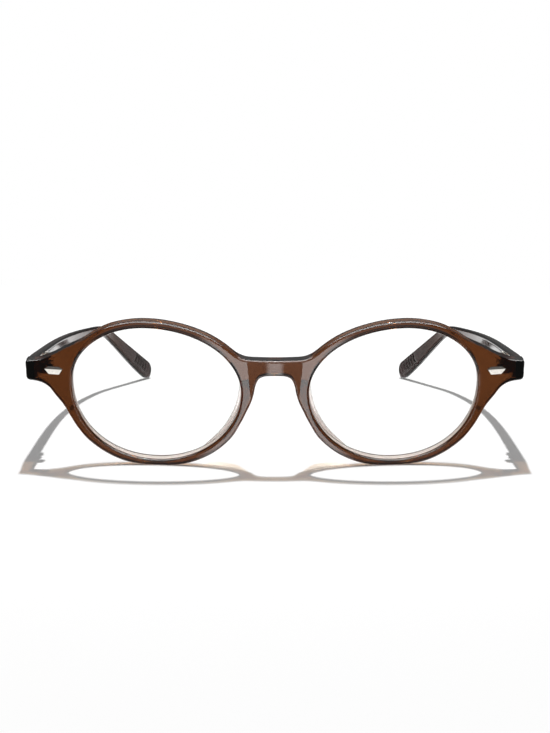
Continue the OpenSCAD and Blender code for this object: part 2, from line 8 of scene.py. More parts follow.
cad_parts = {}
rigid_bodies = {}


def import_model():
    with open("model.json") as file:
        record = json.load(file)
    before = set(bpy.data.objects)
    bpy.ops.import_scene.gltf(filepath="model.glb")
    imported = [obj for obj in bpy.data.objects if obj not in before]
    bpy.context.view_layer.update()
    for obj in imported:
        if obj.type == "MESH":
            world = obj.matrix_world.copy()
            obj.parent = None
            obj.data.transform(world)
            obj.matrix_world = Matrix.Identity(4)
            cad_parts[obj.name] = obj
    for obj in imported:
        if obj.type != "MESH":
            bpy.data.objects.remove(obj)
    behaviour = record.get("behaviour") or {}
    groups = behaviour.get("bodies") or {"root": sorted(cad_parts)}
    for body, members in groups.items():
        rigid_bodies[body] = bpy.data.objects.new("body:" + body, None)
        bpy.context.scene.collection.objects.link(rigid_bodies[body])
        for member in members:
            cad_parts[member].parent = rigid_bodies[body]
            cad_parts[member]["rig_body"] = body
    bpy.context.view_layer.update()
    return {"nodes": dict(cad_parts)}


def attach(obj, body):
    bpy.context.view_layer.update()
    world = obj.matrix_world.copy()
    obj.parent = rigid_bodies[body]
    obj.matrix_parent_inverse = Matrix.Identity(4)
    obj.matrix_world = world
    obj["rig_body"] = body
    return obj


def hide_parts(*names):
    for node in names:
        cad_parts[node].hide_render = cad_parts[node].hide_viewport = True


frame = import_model()
bpy.ops.object.select_all(action="DESELECT")
MM = 0.001

# The glasses are seen as a shop shows them: from straight in front, a hand's breadth above the
# surface that they stand on, with a long lens that looks a little down.
CAMERA_HEIGHT = 110 * MM
CAMERA_BACK = 486 * MM
CAMERA_DOWN = math.radians(10.879)
CAMERA_FOCAL, CAMERA_SENSOR = 77.87, 36
bpy.ops.object.camera_add(
    location=(0, -CAMERA_BACK, CAMERA_HEIGHT), rotation=(math.pi / 2 - CAMERA_DOWN, 0, 0)
)
camera = bpy.context.object
camera.name = "camera"
camera.data.sensor_width = CAMERA_SENSOR
camera.data.lens = CAMERA_FOCAL
bpy.context.scene.camera = camera
bpy.context.scene.view_settings.view_transform = "Standard"


# The studio is a white sweep, and what the camera sees of it is plain white. The glasses mirror less
# of it: a bright table behind and below, a softbox overhead, a dim backdrop, and in front a narrow
# bright strip in a grey haze. The rest of what they mirror is nearly dark.
def to_linear(hex_colour):
    """An sRGB colour such as "#8a5a3c" as linear red, green, blue and a full alpha."""
    parts = [int(hex_colour[i : i + 2], 16) / 255 for i in (1, 3, 5)]
    return tuple(c / 12.92 if c <= 0.04045 else ((c + 0.055) / 1.055) ** 2.4 for c in parts) + (1.0,)


def add_node(tree, kind, links=None, **values):
    """A node with its properties, and its inputs by name or number, plain or linked."""
    node = tree.nodes.new(kind)
    for name, value in values.items():
        setattr(node, name, value)
    for name, value in (links or {}).items():
        if isinstance(value, bpy.types.NodeSocket):
            tree.links.new(value, node.inputs[name])
        else:
            node.inputs[name].default_value = value
    return node


def maths(tree, operation, a, b=0.0):
    """One Math node's output."""
    return add_node(tree, "ShaderNodeMath", {0: a, 1: b}, operation=operation).outputs[0]


def ramp(tree, value, low, high, from_value=0.0, to_value=1.0):
    """from_value below low, to_value above high, and a smooth step between them."""
    node = add_node(
        tree,
        "ShaderNodeMapRange",
        {"Value": value, "From Min": low, "From Max": high, "To Min": from_value, "To Max": to_value},
        interpolation_type="SMOOTHSTEP",
    )
    return node.outputs["Result"]


def product(tree, first, *others):
    """The product of several values."""
    for value in others:
        first = maths(tree, "MULTIPLY", first, value)
    return first


# FILL is the studio's level on matt surfaces, UNLIT is the mirrored level between the bright patches,
# and OVERHEAD is how bright the studio over the glasses looks through their plastic.
FILL, UNLIT, OVERHEAD = 0.34, 0.12, 0.09
world = bpy.data.worlds.new("studio")
bpy.context.scene.world = world
world.use_nodes = True
tree = world.node_tree
tree.nodes.clear()
way = add_node(tree, "ShaderNodeTexCoord").outputs["Generated"]
split = add_node(tree, "ShaderNodeSeparateXYZ", {0: way})
across, back, up = split.outputs
side = maths(tree, "ABSOLUTE", across)
table_behind = product(tree, ramp(tree, back, 0.18, 0.42), ramp(tree, up, -0.09, 0.0, 1.0, 0.0))
table_below = product(tree, ramp(tree, up, -0.8, -0.72, 1.0, 0.0), ramp(tree, side, 0.25, 0.35))
softbox = ramp(tree, up, 0.7, 0.78)
backdrop = product(tree, ramp(tree, back, 0.5, 0.65), ramp(tree, up, 0.3, 0.42))
strip = product(
    tree,
    ramp(tree, back, -0.6, -0.5, 1.0, 0.0),
    ramp(tree, up, -0.3, -0.2, 1.0, 0.0),
    ramp(tree, side, 0.05, 0.12, 1.0, 0.0),
)
haze = product(
    tree,
    maths(tree, "ADD", ramp(tree, up, -0.8, -0.7), ramp(tree, up, -0.5, -0.4)),
    ramp(tree, back, -0.4, -0.3, 1.0, 0.0),
    ramp(tree, side, 0.3, 0.45, 1.0, 0.0),
)
mirrored = UNLIT
for patch, level in (
    (table_behind, 1.4),
    (table_below, 1.6),
    (softbox, 6.5),
    (backdrop, 0.25),
    (strip, 4.1),
    (haze, 0.3),
):
    mirrored = maths(tree, "ADD", mirrored, product(tree, patch, level))
rays = add_node(tree, "ShaderNodeLightPath").outputs
seen = maths(tree, "MAXIMUM", rays["Is Camera Ray"], rays["Is Transmission Ray"])
shown = ramp(tree, up, 0.3, 0.7, 1.0 - FILL, OVERHEAD - FILL)
strength = maths(tree, "ADD", FILL, product(tree, seen, shown))
gloss = product(tree, rays["Is Glossy Ray"], maths(tree, "SUBTRACT", 1.0, rays["Is Transmission Ray"]))
rest = product(tree, strength, maths(tree, "SUBTRACT", 1.0, gloss))
strength = maths(tree, "ADD", rest, product(tree, gloss, mirrored))
background = add_node(tree, "ShaderNodeBackground", {"Color": (1, 1, 1, 1), "Strength": strength})
add_node(tree, "ShaderNodeOutputWorld", {"Surface": background.outputs[0]})

# One small lamp over and behind the glasses throws their thin, crisp shadow towards the camera.
KEY_HEIGHT = 1.534
KEY_BEHIND = 0.455
KEY_LEVEL = 0.74
KEY_SIZE = 0.045
key_far = math.hypot(KEY_HEIGHT, KEY_BEHIND)
key_tilt = math.atan2(KEY_BEHIND, KEY_HEIGHT)
bpy.ops.object.light_add(type="AREA", location=(0, KEY_BEHIND, KEY_HEIGHT))
key = bpy.context.object
key.name = "key"
key.data.shape = "DISK"
key.data.size = KEY_SIZE
key.rotation_euler = (-key_tilt, 0, 0)
key.data.energy = KEY_LEVEL * math.pi**2 * key_far**2 / math.cos(key_tilt)
key.visible_glossy = False

# The table is matt white card. Past the lamp's reach it stays as white, so that no horizon shows, and
# it throws only half of the light back at the glasses.
TABLE_HALF = 6.0
LIT_REACH = 0.17
BOUNCE = 0.5
bpy.ops.mesh.primitive_plane_add(size=2 * TABLE_HALF, location=(0, 0, 0))
table = bpy.context.object
table.name = "table"
table.visible_glossy = False
card = bpy.data.materials.new("matt_white_card")
card.use_nodes = True
tree = card.node_tree
tree.nodes.clear()
spot = add_node(tree, "ShaderNodeTexCoord").outputs["Object"]
reach = add_node(tree, "ShaderNodeVectorMath", {0: spot}, operation="LENGTH").outputs["Value"]
rays = add_node(tree, "ShaderNodeLightPath").outputs
seen = maths(tree, "MAXIMUM", rays["Is Camera Ray"], rays["Is Transmission Ray"])
lit = add_node(tree, "ShaderNodeBsdfDiffuse", {"Color": (1, 1, 1, 1)})
unseen = add_node(tree, "ShaderNodeBsdfDiffuse", {"Color": (BOUNCE, BOUNCE, BOUNCE, 1)})
white = add_node(tree, "ShaderNodeEmission", {"Color": (1, 1, 1, 1), "Strength": 1.0})
shown = add_node(
    tree,
    "ShaderNodeMixShader",
    {0: ramp(tree, reach, LIT_REACH, 2 * LIT_REACH), 1: lit.outputs[0], 2: white.outputs[0]},
)
both = add_node(tree, "ShaderNodeMixShader", {0: seen, 1: unseen.outputs[0], 2: shown.outputs[0]})
add_node(tree, "ShaderNodeOutputMaterial", {"Surface": both.outputs[0]})
table.data.materials.append(card)


# The front is one injection moulding in clear brown plastic, tumbled until it shines. It is a rim
# round each lens with its groove, the bridge, the end pieces and the lugs that carry the hinges.
# Its sizes are the part's own, in millimetres: u runs across from the middle and w up the front.
LENS_W, LENS_H, BRIDGE_GAP = 46.3, 38.4, 18.6
CROWN_X, SOLE_X, NOSE_Z, TEMPLE_Z = 25.7, 23.2, 20.4, 21.9
ROUNDNESS = (2.0, 2.02, 2.15, 2.0)
FRONT_T, END_W, END_TOP, END_H = 4.0, 12.9, 29.2, 5.6
RIM_TOP, RIM_BOTTOM, RIM_LOW, RIM_NOSE = 1.9, 1.7, 2.2, 2.0
BRIDGE_TOP, BRIDGE_H = 31.5, 4.3
EDGE_R, INNER_R = 0.55, 0.6
FRONT_R, WRAP, LEAN = 230.0, math.radians(4.7), math.radians(9.7)
BRIDGE_R, BRIDGE_HALF, CREASE_SLOPE = 45.0, 7.2, 0.09
GROOVE_D, GROOVE_HALF = 0.6, 0.75
NOSE_U = BRIDGE_GAP / 2
TEMPLE_U = NOSE_U + LENS_W
END_U = TEMPLE_U + END_W
END_BOTTOM = END_TOP - END_H
BRIDGE_BOTTOM = BRIDGE_TOP - BRIDGE_H
LENS_MIDDLE = Vector((NOSE_U + LENS_W / 2, RIM_BOTTOM + LENS_H / 2))


def opening(angle):
    """The lens opening's edge: four quarters of nearly elliptical curve."""
    angle %= 360
    c, s = math.cos(math.radians(angle)), math.sin(math.radians(angle))
    quarter = int(angle // 90)
    middle_u = NOSE_U + (CROWN_X if quarter < 2 else SOLE_X)
    middle_w = RIM_BOTTOM + (NOSE_Z if quarter in (0, 3) else TEMPLE_Z)
    half_u = middle_u - NOSE_U if c > 0 else TEMPLE_U - middle_u
    half_w = RIM_BOTTOM + LENS_H - middle_w if s > 0 else middle_w - RIM_BOTTOM
    power = 2 / ROUNDNESS[quarter]
    return Vector(
        (
            middle_u - half_u * math.copysign(abs(c) ** power, c),
            middle_w + half_w * math.copysign(abs(s) ** power, s),
        )
    )


def outward(curve, angle, step=0.4):
    """The outward normal of a curve that runs round clockwise."""
    d = curve(angle + step) - curve(angle - step)
    return Vector((-d.y, d.x)).normalized()


def rim(angle, width):
    """A point that lies width outside the opening's edge."""
    return opening(angle) + width * outward(opening, angle)


def corner(angle, u, w):
    """A point of the outline by its place, with the angle that it belongs to."""
    return angle, Vector((u, w))


def over_rim(angle, at, width):
    """A point of the outline by its width over the opening's edge."""
    return angle, rim(at, width)


# The outline of the left half, from the bridge's top edge over the rim, round the end piece and
# back under the lens to the bridge's lower edge.
SEAM_LOW, SEAM_HIGH = 19.5, 25.0
OUTLINE = [
    corner(SEAM_HIGH, 0, BRIDGE_TOP),
    corner(27, NOSE_U - 5.2, BRIDGE_TOP),
    corner(29, NOSE_U - 2, BRIDGE_TOP + 0.05),
    corner(31.5, NOSE_U - 0.3, BRIDGE_TOP + 0.5),
    over_rim(35.5, 30, RIM_TOP + 0.9),
    over_rim(42.5, 40, RIM_TOP + 0.45),
    over_rim(52, 51, RIM_TOP + 0.25),
    over_rim(65, 64, RIM_TOP + 0.05),
    over_rim(78, 78, RIM_TOP),
    over_rim(91, 91, RIM_TOP),
    over_rim(104, 104, RIM_TOP),
    over_rim(117, 117, RIM_TOP + 0.1),
    over_rim(129, 130, RIM_TOP + 0.15),
    over_rim(138, 140, RIM_TOP + 0.4),
    corner(146.5, END_U - 11.4, END_TOP + 4.3),
    corner(152.5, END_U - 7.6, END_TOP + 2.1),
    corner(158, END_U - 3.7, END_TOP + 0.5),
    corner(161.6, END_U - 0.6, END_TOP),
    corner(162.1, END_U - 0.18, END_TOP - 0.18),
    corner(162.6, END_U, END_TOP - 0.6),
    corner(168, END_U, END_TOP - END_H / 2),
    corner(171, END_U, END_BOTTOM + 1.1),
    corner(173, END_U - 0.25, END_BOTTOM + 0.35),
    corner(175, END_U - 0.9, END_BOTTOM),
    corner(178.5, END_U - 3.2, END_BOTTOM - 0.2),
    corner(182, END_U - 4.9, END_BOTTOM - 0.7),
    corner(186.5, END_U - 6.5, END_BOTTOM - 1.8),
    corner(192.5, END_U - 8.1, END_BOTTOM - 3.9),
    over_rim(199.5, 194, RIM_LOW + 1.2),
    over_rim(206, 202, RIM_LOW + 0.5),
    over_rim(213, 210, RIM_LOW + 0.3),
    over_rim(224, 222, RIM_LOW + 0.2),
    over_rim(237, 237, RIM_LOW),
    over_rim(252, 252, RIM_LOW - 0.1),
    over_rim(270, 270, RIM_BOTTOM),
    over_rim(288, 288, RIM_BOTTOM + 0.4),
    over_rim(306, 306, RIM_NOSE + 0.2),
    over_rim(323, 323, RIM_NOSE + 0.2),
    over_rim(337.5, 337, RIM_NOSE),
    over_rim(347, 346, RIM_NOSE + 0.3),
    over_rim(354, 353, RIM_NOSE + 0.95),
    over_rim(360, 359, RIM_NOSE + 1.5),
    corner(365, NOSE_U - 3.9, BRIDGE_BOTTOM - 3.4),
    corner(368.5, NOSE_U - 4.4, BRIDGE_BOTTOM - 1.9),
    corner(373, NOSE_U - 5.2, BRIDGE_BOTTOM - 0.75),
    corner(377.3, NOSE_U - 6.9, BRIDGE_BOTTOM - 0.1),
    corner(SEAM_LOW + 360, 0, BRIDGE_BOTTOM),
]


def knot(i):
    """A point of the outline, or past either end its mirror image in the middle of the bridge."""
    last = len(OUTLINE) - 1
    if 0 <= i <= last:
        return OUTLINE[i]
    end, twin = (OUTLINE[0], OUTLINE[-i]) if i < 0 else (OUTLINE[last], OUTLINE[2 * last - i])
    return 2 * end[0] - twin[0], Vector((-twin[1].x, twin[1].y))


def outline(angle):
    """The outline's place at an angle, on a smooth curve through its points."""
    i = max(k for k in range(len(OUTLINE) - 1) if k == 0 or OUTLINE[k][0] <= angle)
    (a0, p0), (a1, p1), (a2, p2), (a3, p3) = (knot(i + k) for k in (-1, 0, 1, 2))
    h = a2 - a1
    t = (angle - a1) / h
    m1 = (p2 - p0) * (h / (a2 - a0))
    m2 = (p3 - p1) * (h / (a3 - a1))
    return (
        (2 * t**3 - 3 * t**2 + 1) * p1
        + (t**3 - 2 * t**2 + t) * m1
        + (3 * t**2 - 2 * t**3) * p2
        + (t**3 - t**2) * m2
    )


def beyond(p):
    """How far a point lies outside the crease between the bridge's arched face and the nose's facet."""
    return p.x - BRIDGE_HALF - CREASE_SLOPE * (p.y - BRIDGE_BOTTOM)


def place(p, depth):
    """The point of space at a depth behind the front's face, which curves, turns back and leans."""
    u = max(p.x, p.x - beyond(p))
    across = u - LENS_MIDDLE.x
    y = (across**2 + (p.y - LENS_MIDDLE.y) ** 2) / (2 * FRONT_R) + across * math.tan(WRAP)
    y += depth - (u**2 - p.x**2) / (2 * BRIDGE_R)
    return Vector(
        (p.x, y * math.cos(LEAN) - p.y * math.sin(LEAN), p.y * math.cos(LEAN) + y * math.sin(LEAN))
    )


# The glasses stand on the rims and the temple tips: the rims' foot goes to the surface, with a
# slight turn, and the middle of the depth goes over the origin.
FOOT = Vector((0, 1.482, 0.253))
FOOT_Y, FOOT_TURN = -58.312, math.radians(-0.056)
STAND = (
    Matrix.Scale(MM, 4)
    @ Matrix.Translation((0, FOOT_Y, 0))
    @ Matrix.Rotation(FOOT_TURN, 4, "X")
    @ Matrix.Translation(-FOOT)
)
TURN = [math.radians(angle) for angle in (0, 15, 30, 45, 60, 75, 90)]
SAME_POINT, NO_LENGTH = 0.0005, 0.0001


def skin(name, rings, closed=False, capped=True, keep=None, sharp=None, slot_of=None, matrix=STAND):
    """A mesh through rings of points: a tube with flat ends, or closed on itself."""
    shape = bmesh.new()
    rows = [[shape.verts.new(point) for point in ring] for ring in rings]
    pairs = zip(rows, rows[1:] + rows[:1]) if closed else zip(rows, rows[1:])
    for j, (one, two) in enumerate(pairs):
        for k in range(len(one)):
            n = (k + 1) % len(one)
            if keep is None or keep(j, k):
                face = shape.faces.new((one[k], two[k], two[n], one[n]))
                face.material_index = slot_of(j) if slot_of else 0
    if capped and not closed:
        shape.faces.new(rows[0])
        shape.faces.new(reversed(rows[-1]))
    for j, k in sharp or ():
        edge = shape.edges.get((rows[j][k], rows[j + 1][k]))
        if edge:
            edge.smooth = False
    bmesh.ops.delete(shape, geom=[v for v in shape.verts if not v.link_faces], context="VERTS")
    bmesh.ops.remove_doubles(shape, verts=shape.verts, dist=SAME_POINT)
    bmesh.ops.dissolve_degenerate(shape, edges=shape.edges, dist=NO_LENGTH)
    bmesh.ops.recalc_face_normals(shape, faces=shape.faces)
    shape.transform(matrix)
    mesh = bpy.data.meshes.new(name)
    shape.to_mesh(mesh)
    shape.free()
    piece = bpy.data.objects.new(name, mesh)
    bpy.context.scene.collection.objects.link(piece)
    bpy.ops.object.select_all(action="DESELECT")
    piece.select_set(True)
    bpy.context.view_layer.objects.active = piece
    return piece


def apply(piece, kind, **values):
    """Adds a modifier with its settings and applies it."""
    bpy.context.view_layer.objects.active = piece
    modifier = piece.modifiers.new(kind.lower(), kind)
    for name, value in values.items():
        setattr(modifier, name, value)
    bpy.ops.object.modifier_apply(modifier=modifier.name)


def boolean(piece, tools, operation):
    """Joins or cuts with tool bodies, which are then deleted."""
    for tool in tools:
        apply(piece, "BOOLEAN", operation=operation, object=tool, solver="EXACT")
        bpy.data.objects.remove(tool)


def finish_shape(piece, node, angle=35):
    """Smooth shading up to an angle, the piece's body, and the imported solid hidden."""
    bpy.ops.object.select_all(action="DESELECT")
    piece.select_set(True)
    bpy.context.view_layer.objects.active = piece
    bpy.ops.object.shade_smooth_by_angle(angle=math.radians(angle), keep_sharp_edges=True)
    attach(piece, frame["nodes"][node]["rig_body"])
    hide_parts(node)


# The face has FACE_ROWS of faces on each side of its crease. Where the crease is past the outer edge,
# its rows spread out evenly again. The top corner of the end piece is sharp, so the rounding of the
# edge tightens to CORNER_R there, over a few degrees to either side.
FACE_ROWS, CREASE_LAST, CREASE_FADE = 8, 0.97, 6
WALL_ROWS = (0.3, 0.5, 0.7)
CORNER_AT, CORNER_REACH, CORNER_R = 162.1, 3.0, 0.35


def front_section(angle):
    """One cross-section: from the face's inner edge over the outer edge and the back to the groove."""
    a, g = opening(angle), outward(opening, angle)
    turn = (angle - SEAM_LOW) % 360 + SEAM_LOW
    if turn < SEAM_HIGH:
        b = Vector((0, BRIDGE_BOTTOM + BRIDGE_H * (turn - SEAM_LOW) / (SEAM_HIGH - SEAM_LOW)))
        n = Vector((0, -1 if turn == SEAM_LOW else 0))
    else:
        b, n = outline(turn), outward(outline, turn, 0.05)
        n = Vector((0, 1)) if turn == SEAM_HIGH else n
    r = EDGE_R + (CORNER_R - EDGE_R) * math.exp(-(((turn - CORNER_AT) / CORNER_REACH) ** 2))
    inner, outer = a + INNER_R * g, b - r * n
    past = beyond(outer)
    if past < 0:
        at = min(CREASE_LAST, beyond(inner) / (beyond(inner) - past))
    else:
        at = max(0.5, CREASE_LAST - past / CREASE_FADE)
    crease = inner.lerp(outer, at)
    steps = [k / FACE_ROWS for k in range(FACE_ROWS)]
    face = [inner.lerp(crease, k) for k in steps] + [crease.lerp(outer, k) for k in steps]
    mid = FRONT_T / 2
    ring = [place(p, 0) for p in face]
    ring += [place(outer + r * math.sin(t) * n, r * (1 - math.cos(t))) for t in TURN]
    ring += [place(b, FRONT_T * k) for k in WALL_ROWS]
    ring += [place(outer + r * math.sin(t) * n, FRONT_T - r * (1 - math.cos(t))) for t in TURN[::-1]]
    ring += [place(p, FRONT_T) for p in reversed(face)]
    ring += [
        place(inner - INNER_R * math.sin(t) * g, FRONT_T - INNER_R * (1 - math.cos(t))) for t in TURN[1:]
    ]
    ring += [place(a, mid + GROOVE_HALF), place(a + GROOVE_D * g, mid), place(a, mid - GROOVE_HALF)]
    ring += [place(inner - INNER_R * math.sin(t) * g, INNER_R * (1 - math.cos(t))) for t in TURN[:0:-1]]
    return ring, past < 0


# The sections stand closer together where the outline turns fast.
STATIONS = [SEAM_LOW, 22.0]
for low, high, step in (
    (SEAM_HIGH, 33, 0.25),
    (33, 45, 0.75),
    (45, 140, 1.5),
    (140, 158, 0.75),
    (158, 161.2, 0.4),
    (161.2, 163, 0.1),
    (163, 178, 0.5),
    (178, 204, 1),
    (204, 342, 1.5),
    (342, 360, 0.75),
    (360, 379.4, 0.4),
):
    STATIONS += [low + step * k for k in range(round((high - low) / step))]
sections = [front_section(angle) for angle in STATIONS]
wall_from = 2 * FACE_ROWS
wall_to = wall_from + 2 * len(TURN) + len(WALL_ROWS) - 1
back_crease = wall_to + FACE_ROWS
creased = [j for j in range(len(STATIONS) - 1) if sections[j][1] and sections[j + 1][1]]
front = skin(
    "glasses_front",
    [ring for ring, _ in sections],
    closed=True,
    keep=lambda j, k: j > 1 or not wall_from <= k < wall_to,
    sharp=[(j, k) for j in creased for k in (FACE_ROWS, back_crease)],
)
apply(front, "MIRROR", use_axis=(True, False, False), use_clip=True, merge_threshold=0.001 * MM)


# The lugs run back from the end pieces to the joints.
TEMPLE_T, TEMPLE_H, TEMPLE_R, LUG_R = 3.0, 5.5, 0.8, 0.5
LUG_LEN, LUG_IN, LUG_OUT, LUG_DROP, LUG_STEPS = 9.3, 2.0, 0.6, 0.3, 12
SLOPE = math.radians(4.35)
HINGE_GAP = 0.06
OUTER_X = END_U + LUG_OUT
INNER_X = OUTER_X - TEMPLE_T
lug_root = place(Vector((END_U - TEMPLE_T / 2, END_TOP - END_H / 2)), FRONT_T)
JOINT = (
    STAND
    @ Matrix.Translation(
        (0, lug_root.y + LUG_LEN, lug_root.z - LUG_LEN * math.tan(SLOPE) - LUG_DROP)
    )
    @ Matrix.Rotation(-SLOPE, 4, "X")
)


def smooth(t):
    """A smooth step from 0 to 1."""
    t = max(0, min(1, t))
    return t * t * (3 - 2 * t)


def bar_ring(at, across, up, t, h, r, rows=1, dent=None):
    """A cross-section t by h with rounded corners. Its inner side has rows, which dent may sink."""
    ring = []
    for side, top, start in ((1, 1, 0), (-1, 1, 90), (-1, -1, 180), (1, -1, 270)):
        for turn in TURN:
            angle = math.radians(start) + turn
            a = side * (t / 2 - r) + r * math.cos(angle)
            ring.append((a, top * (h / 2 - r) + r * math.sin(angle)))
        if (side, top) == (-1, 1):
            for k in range(1, rows):
                v = (h / 2 - r) * (1 - 2 * k / rows)
                ring.append((-t / 2 + (dent(v) if dent else 0), v))
    return [at + across * a + up * b for a, b in ring]


lug_rings = []
for k in range(LUG_STEPS + 1):
    side = OUTER_X - LUG_OUT * (1 - smooth(k / LUG_STEPS))
    y = -LUG_LEN - LUG_IN + (LUG_LEN + LUG_IN - HINGE_GAP / 2) * k / LUG_STEPS
    lug_rings.append(
        bar_ring(
            Vector(((INNER_X + side) / 2, y, 0)),
            Vector((1, 0, 0)),
            Vector((0, 0, 1)),
            side - INNER_X,
            TEMPLE_H,
            LUG_R + (TEMPLE_R - LUG_R) * k / LUG_STEPS,
        )
    )


def mirror_across(piece):
    """Makes a left piece into its right twin."""
    piece.data.transform(Matrix.Scale(-1, 4, (1, 0, 0)))
    piece.data.flip_normals()


lugs = [skin("lug", lug_rings, matrix=JOINT) for _ in range(2)]
mirror_across(lugs[1])
boolean(front, lugs, "UNION")

# Each end piece has two short bores for the plaque's pins, and behind them two for the studs of the
# hinge's foot.
PLAQUE_IN, PLAQUE_Z, PIN_GAP, FOOT_H, FOOT_FROM = 8.0, 27.1, 2.2, 4.0, 0.4
PIN_R, PIN_L, STUD_R, STUD_L, PIN_FIT, PEG_END = 0.5, 2.0, 0.45, 2.2, 0.02, 0.1
PINS = ((-PIN_GAP / 2, 0), (PIN_GAP / 2, 0))
STUDS = ((FOOT_FROM + 1.1, FOOT_H / 2 - 0.6), (FOOT_FROM + 2.2, 0.4))
seat = Vector((END_U - PLAQUE_IN, PLAQUE_Z))
seat_yaw = math.atan((seat.x - LENS_MIDDLE.x) / FRONT_R + math.tan(WRAP))
seat_pitch = math.atan((seat.y - LENS_MIDDLE.y) / FRONT_R)
SEAT = (
    STAND
    @ Matrix.Translation(place(seat, 0))
    @ Matrix.Rotation(LEAN - seat_pitch, 4, "X")
    @ Matrix.Rotation(seat_yaw, 4, "Z")
)
drills = []
for side in (1, -1):
    for spots, radius, start, end in (
        (PINS, PIN_R, -1, PIN_L + PEG_END),
        (STUDS, STUD_R, FRONT_T - STUD_L - PEG_END, FRONT_T + 1),
    ):
        for across, up in spots:
            bpy.ops.mesh.primitive_cylinder_add(vertices=32, radius=radius + PIN_FIT, depth=end - start)
            drill = bpy.context.object
            drill.data.transform(Matrix.Rotation(math.pi / 2, 4, "X"))
            drill.data.transform(SEAT @ Matrix.Translation((across, (start + end) / 2, up)))
            if side < 0:
                mirror_across(drill)
            drills.append(drill)
boolean(front, drills, "DIFFERENCE")


# The flow of the melt shows as faint streaks, three in 50 mm, and the polish varies nine times in a
# centimetre.
FLOW, POLISH = 3 / (50 * MM), 9 / (10 * MM)
RIPPLE, RIPPLE_DEEP = 0.02, 0.1 * MM
PLASTIC_IOR = 1.49


def clear_plastic(name, tint, depth_tint, density, roughness, shadow, painted_tip_shade=None):
    """See-through moulded plastic: a tinted polished skin over a tinted inside, and a tinted shadow.

    density is the inside's linear colour and its strength in a metre. The last argument is a stretch along
    the glasses, in metres, and the darker tint that the skin has turned to behind it: painted shade, not a
    tint of the plastic.
    """
    material = bpy.data.materials.new(name)
    material.use_nodes = True
    tree = material.node_tree
    tree.nodes.clear()
    spot = add_node(tree, "ShaderNodeTexCoord").outputs["Object"]
    flow = add_node(tree, "ShaderNodeTexNoise", {"Vector": spot, "Scale": FLOW, "Detail": 3.0})
    polish = add_node(tree, "ShaderNodeTexNoise", {"Vector": spot, "Scale": POLISH, "Detail": 2.0})
    rough = ramp(tree, polish.outputs[0], 0.35, 0.7, roughness * 0.7, roughness * 1.4)
    streak = add_node(
        tree,
        "ShaderNodeMix",
        {0: ramp(tree, flow.outputs[0], 0.3, 0.7), 6: to_linear(tint), 7: to_linear(depth_tint)},
        data_type="RGBA",
    )
    # Painted shade: the skin's tint darkens along the glasses to a last, darker tint.
    if painted_tip_shade:
        start, end, shaded_tint = painted_tip_shade
        along_y = add_node(tree, "ShaderNodeSeparateXYZ", {0: spot}).outputs["Y"]
        streak = add_node(
            tree,
            "ShaderNodeMix",
            {0: ramp(tree, along_y, start, end), 6: streak.outputs[2], 7: to_linear(shaded_tint)},
            data_type="RGBA",
        )
    ripple = add_node(
        tree, "ShaderNodeBump", {"Height": flow.outputs[0], "Strength": RIPPLE, "Distance": RIPPLE_DEEP}
    )
    polished = add_node(
        tree,
        "ShaderNodeBsdfPrincipled",
        {
            "Base Color": streak.outputs[2],
            "Roughness": rough,
            "IOR": PLASTIC_IOR,
            "Transmission Weight": 1.0,
            "Normal": ripple.outputs[0],
        },
    )
    passing = add_node(tree, "ShaderNodeBsdfTransparent", {"Color": to_linear(shadow)})
    lamp = add_node(tree, "ShaderNodeLightPath").outputs["Is Shadow Ray"]
    surface = add_node(tree, "ShaderNodeMixShader", {0: lamp, 1: polished.outputs[0], 2: passing.outputs[0]})
    inside = add_node(tree, "ShaderNodeVolumeAbsorption", {"Color": density[0], "Density": density[1]})
    ends = {"Surface": surface.outputs[0], "Volume": inside.outputs[0]}
    add_node(tree, "ShaderNodeOutputMaterial", ends)
    return material


# Polished brown plastic is amber where light crosses it and darker where one looks along it, and its
# skin mirrors the studio sharply.
brown = clear_plastic(
    "polished_brown_plastic",
    tint="#8f6a4e",
    depth_tint="#86603f",
    density=((0.65, 0.46, 0.2, 1), 690),
    roughness=0.04,
    shadow="#e4eefc",
)
front.data.materials.append(brown)
finish_shape(front, "front")

# The temples are moulded in a darker smoky plastic. Each is one bar, bowed in along its length,
# turned down and in behind the ear, with a blade tip that has seven crescent grooves on its inner face.
TEMPLE_LEN, TIP_T, EAR_H, TIP_H = 125.0, 1.9, 3.2, 5.9
BEND_START, BEND_END, TIP_DROP, BOW, TIP_IN = 87.0, 101.0, 32.0, 19.0, 34.5
STRAIGHT, SLIM_BY, TIP_FROM, TIP_FULL, BOW_POWER = 12.0, 20.0, 5.0, 2.0, 2.3
TIP_ROUND, TIP_SINK, TIP_THIN = 3.6, 0.45, 0.4
GROOVES, GROOVE_PITCH, GROOVE_END, GROOVE_BULGE, GROOVE_DEEP, GROOVE_WIDE = 7, 1.5, 1.6, 1.8, 0.4, 0.36
GROOVE_REACH, GROOVE_FADE = 0.42, 0.12
BAR_ROWS, BAR_STEP, TIP_STEPS_FROM, TIP_STEP = 20, 2.0, 108, 0.14


def heading(s):
    """Which way the temple runs at a distance from the joint: its yaw and pitch."""
    bend = smooth((s - BEND_START) / (BEND_END - BEND_START))
    bow = BOW * min(1, max(0, s - STRAIGHT) / (BEND_START - STRAIGHT)) ** BOW_POWER
    return math.radians(bow + (TIP_IN - BOW) * bend), math.radians(TIP_DROP * bend)


def along(yaw, pitch):
    """The unit vector of a heading."""
    return Vector((-math.sin(yaw) * math.cos(pitch), math.cos(yaw) * math.cos(pitch), -math.sin(pitch)))


path = [Vector((OUTER_X, 0, TEMPLE_H / 2))]
for k in range(math.ceil(TEMPLE_LEN)):
    path.append(path[-1] + along(*heading(k + 0.5)))


